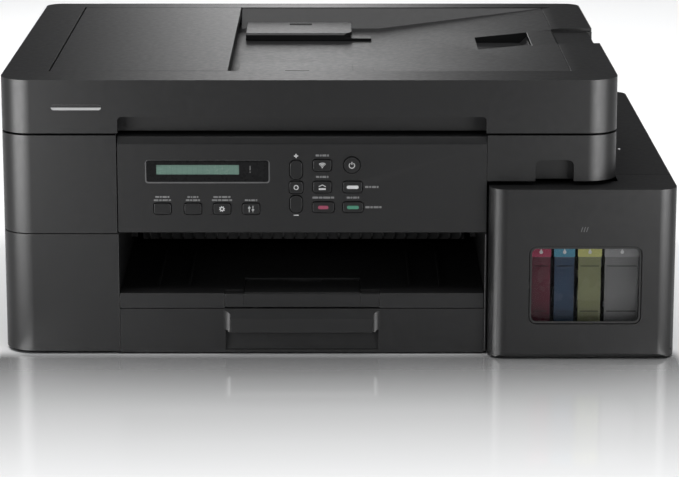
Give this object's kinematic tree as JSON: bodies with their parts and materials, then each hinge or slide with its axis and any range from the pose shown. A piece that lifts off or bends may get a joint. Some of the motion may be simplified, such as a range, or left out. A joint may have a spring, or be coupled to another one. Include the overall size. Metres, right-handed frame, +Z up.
{
  "type": "inkjet printer",
  "caption": "Boxy all-in-one inkjet printer with a flatbed scanner under a document feeder lid, front control panel, paper cassette and a side compartment of refillable ink tanks.",
  "frame": {"origin": "middle of the footprint of the whole printer, on the surface that its feet stand on", "axes": "+X to the right seen from the front, +Y towards the back, +Z up"},
  "size_m": [0.435, 0.359, 0.1805],
  "materials": {
    "shell": "black ABS with a fine moulded grain, satin",
    "panel": "black ABS, smooth satin",
    "screen": "smoked gloss bezel round a green screen",
    "key": "smooth moulded keys",
    "smoked_window": "smoked clear plastic, polished",
    "ink_magenta": "clear plastic tank full of ink",
    "ink_cyan": "clear plastic tank full of ink",
    "ink_yellow": "clear plastic tank full of ink",
    "ink_black": "clear plastic tank full of ink",
    "cap": "soft moulded cap",
    "inner_plastic": "black moulded mechanism plastic",
    "rubber": "matt rubber",
    "steel": "ground steel rod",
    "board": "circuit board with components",
    "glass": "clear float glass",
    "foam": "white backing sheet on foam"
  },
  "bodies": {
    "body": {"base_housing": "shell", "upper_housing": "shell", "control_panel": "panel", "lcd_display": "screen", "tank_housing": "shell", "ink_tank_magenta": "ink_magenta", "ink_tank_cyan": "ink_cyan", "ink_tank_yellow": "ink_yellow", "ink_tank_black": "ink_black", "platen": "inner_plastic", "carriage_rail": "steel", "carriage_belt": "rubber", "main_board": "board", "power_supply": "inner_plastic", "power_inlet": "inner_plastic", "foot_front_left": "rubber", "foot_front_right": "rubber", "foot_rear_left": "rubber", "foot_rear_right": "rubber"},
    "button_enlarge": {"button_enlarge": "key"},
    "button_quality": {"button_quality": "key"},
    "button_options": {"button_options": "key"},
    "button_menu": {"button_menu": "key"},
    "button_up": {"button_up": "key"},
    "button_ok": {"button_ok": "key"},
    "button_down": {"button_down": "key"},
    "button_wireless": {"button_wireless": "key"},
    "button_scan": {"button_scan": "key"},
    "button_stop": {"button_stop": "key"},
    "button_power": {"button_power": "key"},
    "button_mono_start": {"button_mono_start": "key"},
    "button_colour_start": {"button_colour_start": "key"},
    "carriage": {"print_carriage": "inner_plastic"},
    "feed_roller": {"feed_roller": "rubber"},
    "exit_roller": {"exit_roller": "rubber"},
    "tank_cover": {"ink_tank_cover": "shell", "tank_window": "smoked_window"},
    "tank_cap_magenta": {"tank_cap_magenta": "cap"},
    "tank_cap_cyan": {"tank_cap_cyan": "cap"},
    "tank_cap_yellow": {"tank_cap_yellow": "cap"},
    "tank_cap_black": {"tank_cap_black": "cap"},
    "cassette": {"paper_tray": "shell"},
    "paper_guide_left": {"paper_guide_left": "inner_plastic"},
    "paper_guide_right": {"paper_guide_right": "inner_plastic"},
    "paper_length_guide": {"paper_length_guide": "inner_plastic"},
    "output_tray": {"output_tray": "shell"},
    "paper_support": {"paper_support": "shell"},
    "support_flap": {"paper_support_flap": "shell"},
    "scanner": {"scanner_frame": "inner_plastic", "scanner_glass": "glass", "feeder_glass": "glass"},
    "scan_bar": {"scan_bar": "inner_plastic"},
    "lid": {"document_lid": "shell", "document_pad": "foam"},
    "feeder_cover": {"feeder_cover": "shell"},
    "feeder_guide_rear": {"feeder_guide_rear": "shell"},
    "feeder_guide_front": {"feeder_guide_front": "shell"},
    "document_stopper": {"document_stopper": "shell"},
    "feeder_roller": {"feeder_roller": "rubber"},
    "rear_cover": {"rear_cover": "shell"}
  },
  "joints": [
    {"name": "button_enlarge_press", "type": "slide", "parent": "body", "child": "button_enlarge", "axis": [0, 1, 0], "range_m": [0, 0.0008], "stiffness_N_per_m": 150, "springref_m": -0.002},
    {"name": "button_quality_press", "type": "slide", "parent": "body", "child": "button_quality", "axis": [0, 1, 0], "range_m": [0, 0.0008], "stiffness_N_per_m": 150, "springref_m": -0.002},
    {"name": "button_options_press", "type": "slide", "parent": "body", "child": "button_options", "axis": [0, 1, 0], "range_m": [0, 0.0008], "stiffness_N_per_m": 150, "springref_m": -0.002},
    {"name": "button_menu_press", "type": "slide", "parent": "body", "child": "button_menu", "axis": [0, 1, 0], "range_m": [0, 0.0008], "stiffness_N_per_m": 150, "springref_m": -0.002},
    {"name": "button_up_press", "type": "slide", "parent": "body", "child": "button_up", "axis": [0, 1, 0], "range_m": [0, 0.0008], "stiffness_N_per_m": 150, "springref_m": -0.002},
    {"name": "button_ok_press", "type": "slide", "parent": "body", "child": "button_ok", "axis": [0, 1, 0], "range_m": [0, 0.0008], "stiffness_N_per_m": 150, "springref_m": -0.002},
    {"name": "button_down_press", "type": "slide", "parent": "body", "child": "button_down", "axis": [0, 1, 0], "range_m": [0, 0.0008], "stiffness_N_per_m": 150, "springref_m": -0.002},
    {"name": "button_wireless_press", "type": "slide", "parent": "body", "child": "button_wireless", "axis": [0, 1, 0], "range_m": [0, 0.0008], "stiffness_N_per_m": 150, "springref_m": -0.002},
    {"name": "button_scan_press", "type": "slide", "parent": "body", "child": "button_scan", "axis": [0, 1, 0], "range_m": [0, 0.0008], "stiffness_N_per_m": 150, "springref_m": -0.002},
    {"name": "button_stop_press", "type": "slide", "parent": "body", "child": "button_stop", "axis": [0, 1, 0], "range_m": [0, 0.0008], "stiffness_N_per_m": 150, "springref_m": -0.002},
    {"name": "button_power_press", "type": "slide", "parent": "body", "child": "button_power", "axis": [0, 1, 0], "range_m": [0, 0.0008], "stiffness_N_per_m": 150, "springref_m": -0.002},
    {"name": "button_mono_start_press", "type": "slide", "parent": "body", "child": "button_mono_start", "axis": [0, 1, 0], "range_m": [0, 0.0008], "stiffness_N_per_m": 150, "springref_m": -0.002},
    {"name": "button_colour_start_press", "type": "slide", "parent": "body", "child": "button_colour_start", "axis": [0, 1, 0], "range_m": [0, 0.0008], "stiffness_N_per_m": 150, "springref_m": -0.002},
    {"name": "carriage_slide", "type": "slide", "parent": "body", "child": "carriage", "axis": [1, 0, 0], "range_m": [-0.236, 0]},
    {"name": "feed_roller_spin", "type": "hinge", "parent": "body", "child": "feed_roller", "pos_m": [-0.023, 0.034, 0.062], "axis": [1, 0, 0], "continuous": true},
    {"name": "exit_roller_spin", "type": "hinge", "parent": "body", "child": "exit_roller", "pos_m": [-0.023, -0.042, 0.066], "axis": [1, 0, 0], "continuous": true},
    {"name": "tank_cover_hinge", "type": "hinge", "parent": "body", "child": "tank_cover", "pos_m": [0.157, -0.1745, 0.0058], "axis": [1, 0, 0], "range_deg": [0, 90]},
    {"name": "tank_cap_magenta_lift", "type": "slide", "parent": "body", "child": "tank_cap_magenta", "axis": [0, 0, 1], "range_m": [0, 0.008]},
    {"name": "tank_cap_cyan_lift", "type": "slide", "parent": "body", "child": "tank_cap_cyan", "axis": [0, 0, 1], "range_m": [0, 0.008]},
    {"name": "tank_cap_yellow_lift", "type": "slide", "parent": "body", "child": "tank_cap_yellow", "axis": [0, 0, 1], "range_m": [0, 0.008]},
    {"name": "tank_cap_black_lift", "type": "slide", "parent": "body", "child": "tank_cap_black", "axis": [0, 0, 1], "range_m": [0, 0.008]},
    {"name": "cassette_slide", "type": "slide", "parent": "body", "child": "cassette", "axis": [0, -1, 0], "range_m": [0, 0.25]},
    {"name": "paper_guide_left_slide", "type": "slide", "parent": "cassette", "child": "paper_guide_left", "axis": [1, 0, 0], "range_m": [0, 0.05]},
    {"name": "paper_guide_right_slide", "type": "slide", "parent": "cassette", "child": "paper_guide_right", "axis": [1, 0, 0], "range_m": [-0.05, 0]},
    {"name": "paper_length_guide_slide", "type": "slide", "parent": "cassette", "child": "paper_length_guide", "axis": [0, -1, 0], "range_m": [0, 0.09]},
    {"name": "output_tray_hinge", "type": "hinge", "parent": "cassette", "child": "output_tray", "pos_m": [-0.0235, -0.04, 0.034], "axis": [-1, 0, 0], "range_deg": [0, 10]},
    {"name": "paper_support_slide", "type": "slide", "parent": "output_tray", "child": "paper_support", "axis": [0, -1, 0], "range_m": [0, 0.1]},
    {"name": "support_flap_hinge", "type": "hinge", "parent": "paper_support", "child": "support_flap", "pos_m": [-0.02325, -0.162, 0.0391], "axis": [1, 0, 0], "range_deg": [0, 120]},
    {"name": "scanner_hinge", "type": "hinge", "parent": "body", "child": "scanner", "pos_m": [-0.015, 0.166, 0.146], "axis": [-1, 0, 0], "range_deg": [0, 35]},
    {"name": "scan_bar_slide", "type": "slide", "parent": "scanner", "child": "scan_bar", "axis": [1, 0, 0], "range_m": [0, 0.31]},
    {"name": "lid_hinge", "type": "hinge", "parent": "scanner", "child": "lid", "pos_m": [-0.015, 0.164, 0.152], "axis": [-1, 0, 0], "range_deg": [0, 70]},
    {"name": "feeder_cover_hinge", "type": "hinge", "parent": "lid", "child": "feeder_cover", "pos_m": [-0.1854, 0.0095, 0.179], "axis": [0, -1, 0], "range_deg": [0, 75]},
    {"name": "feeder_guide_rear_slide", "type": "slide", "parent": "lid", "child": "feeder_guide_rear", "axis": [0, 1, 0], "range_m": [-0.03, 0.008]},
    {"name": "feeder_guide_front_slide", "type": "slide", "parent": "lid", "child": "feeder_guide_front", "axis": [0, 1, 0], "range_m": [-0.008, 0.03]},
    {"name": "document_stopper_hinge", "type": "hinge", "parent": "lid", "child": "document_stopper", "pos_m": [0.1756, 0.016, 0.1767], "axis": [0, 1, 0], "range_deg": [0, 95]},
    {"name": "feeder_roller_spin", "type": "hinge", "parent": "lid", "child": "feeder_roller", "pos_m": [-0.096, 0.0095, 0.1726], "axis": [0, 1, 0], "continuous": true},
    {"name": "rear_cover_hinge", "type": "hinge", "parent": "body", "child": "rear_cover", "pos_m": [-0.0235, 0.1775, 0.0265], "axis": [-1, 0, 0], "range_deg": [0, 85]}
  ],
  "couplings": [
    {"joint": "exit_roller_spin", "follows": "feed_roller_spin", "ratio": 1.6},
    {"joint": "paper_guide_right_slide", "follows": "paper_guide_left_slide", "ratio": -1},
    {"joint": "feeder_guide_front_slide", "follows": "feeder_guide_rear_slide", "ratio": -1}
  ]
}
